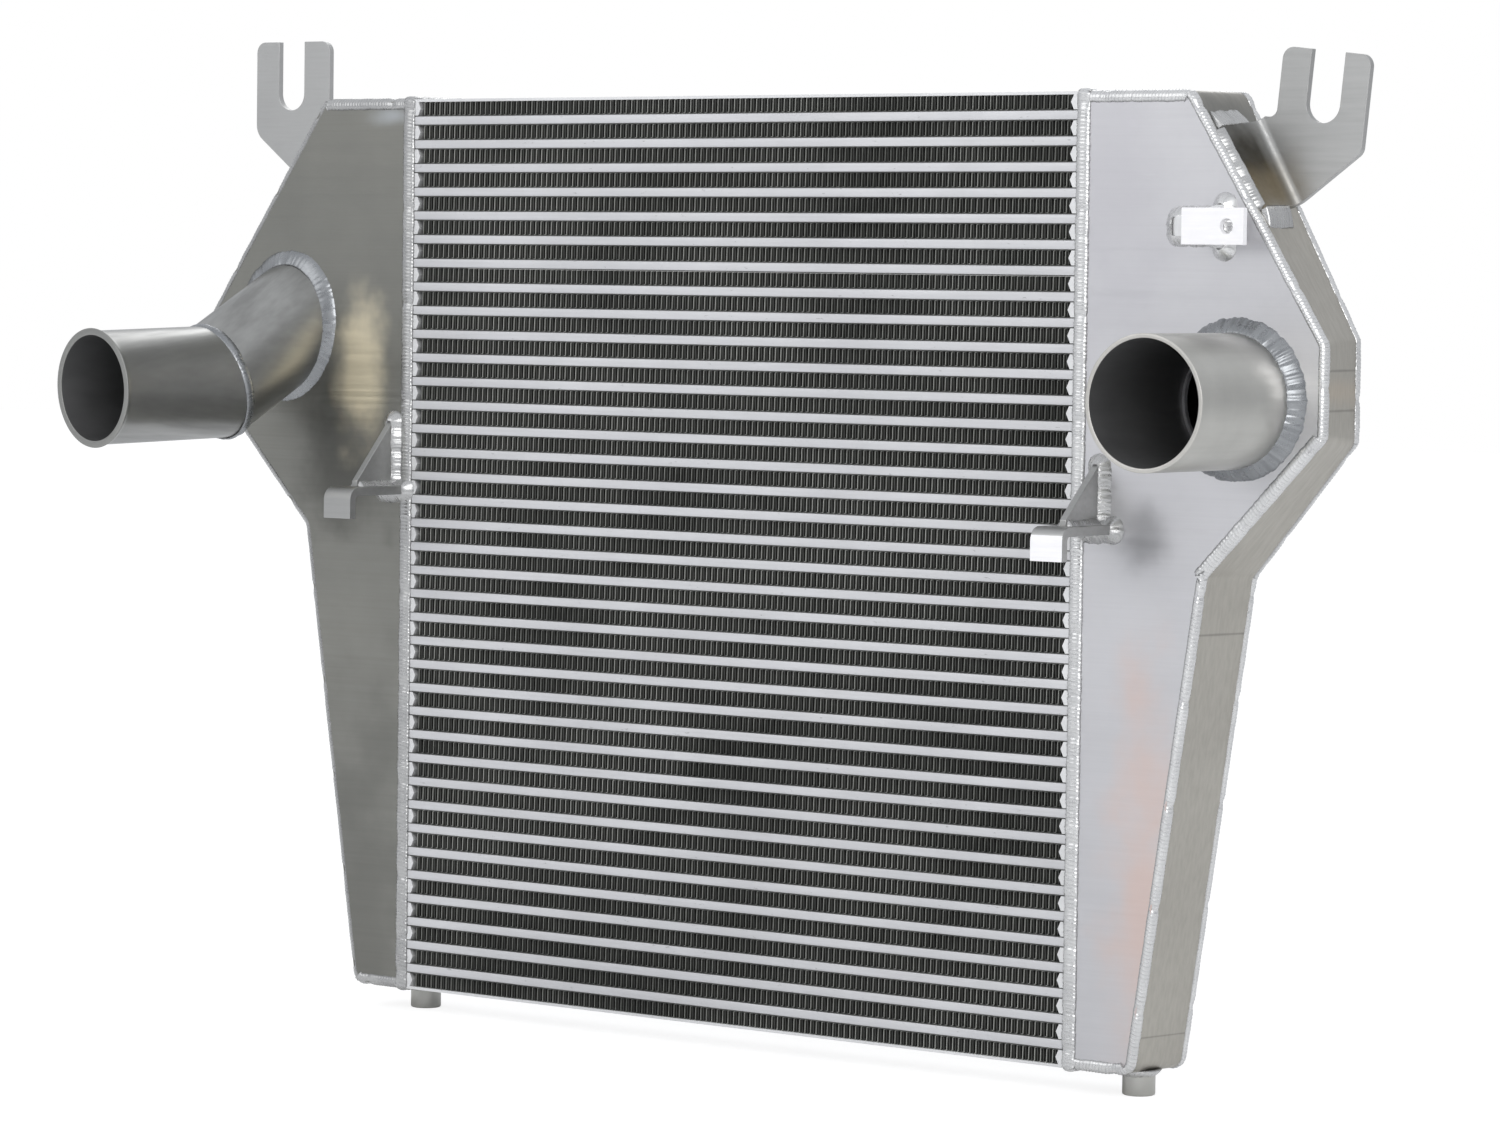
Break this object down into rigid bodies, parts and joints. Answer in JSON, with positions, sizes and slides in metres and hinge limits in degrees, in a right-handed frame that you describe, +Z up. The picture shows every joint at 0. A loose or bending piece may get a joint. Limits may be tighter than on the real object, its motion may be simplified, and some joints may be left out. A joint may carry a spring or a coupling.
{
  "type": "intercooler",
  "caption": "Bar-and-plate charge air cooler: finned core between two welded sheet tanks, with a straight outlet, an angled inlet, forks and brackets.",
  "frame": {"origin": "midway between the lower ends of the two mounting pins", "axes": "+X across the core towards the straight outlet, +Y the way the cooling air leaves, away from the tubes, +Z up"},
  "size_m": [0.9802, 0.2398, 0.7127],
  "materials": {
    "core_bar": "extruded, satin",
    "fin": "folded sheet in shade",
    "tank_plate": "brushed sheet",
    "tank_strip": "bent sheet",
    "weld": "rippled bead",
    "tube": "drawn tube, satin",
    "bracket": "cut sheet and bar"
  },
  "bodies": {
    "root": {"charge_bars_front": "core_bar", "charge_bars_rear": "core_bar", "parting_sheets": "core_bar", "ambient_fins": "fin", "end_bars_left": "core_bar", "end_bars_right": "core_bar", "turbulators": "fin", "side_plate_top": "core_bar", "side_plate_bottom": "core_bar", "pins": "tube", "bottom_caps": "tank_strip", "lower_brackets": "bracket", "lower_gussets": "bracket", "lower_bracket_welds": "weld", "forks": "bracket", "fork_welds": "weld", "air_tubes": "tube", "tube_welds": "weld", "upper_bracket_plate": "bracket", "upper_bracket_flat_web": "bracket", "upper_bracket_upright_web": "bracket", "upper_bracket_welds": "weld", "right_front_plate": "tank_plate", "right_back_plate": "tank_plate", "right_strip": "tank_strip", "right_rim_weld_front": "weld", "right_rim_weld_rear": "weld", "right_core_welds": "weld", "left_front_plate": "tank_plate", "left_back_plate": "tank_plate", "left_strip": "tank_strip", "left_rim_weld_front": "weld", "left_rim_weld_rear": "weld", "left_core_welds": "weld"}
  },
  "joints": []
}
